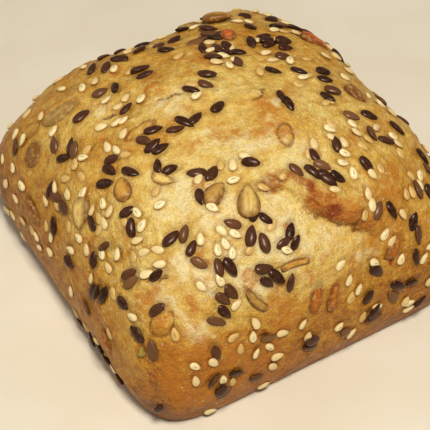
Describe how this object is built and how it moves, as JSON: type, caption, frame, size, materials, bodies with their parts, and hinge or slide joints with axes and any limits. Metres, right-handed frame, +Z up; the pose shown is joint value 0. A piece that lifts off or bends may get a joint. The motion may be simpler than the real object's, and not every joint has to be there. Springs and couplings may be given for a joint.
{
  "type": "seeded bread roll",
  "caption": "Square domed bread roll with a browned crust, torn open at one side, topped with flax, sesame, sunflower and pumpkin seeds.",
  "frame": {"origin": "centre of the flat base, on the surface that the roll stands on", "axes": "+Z up through the crown; -Y towards the side that the tear is nearest to; +X to the right as seen from that side"},
  "size_m": [0.0899, 0.0915, 0.0494],
  "materials": {
    "crust": "baked crust, matt with a faint shine, pale at the crown and brown at the sides",
    "flax": "smooth dark brown seed coat, glossy",
    "sesame": "cream seed coat, satin",
    "kernel": "toasted sunflower and pumpkin kernels, satin"
  },
  "bodies": {
    "root": {"roll": "crust"}
  },
  "joints": []
}
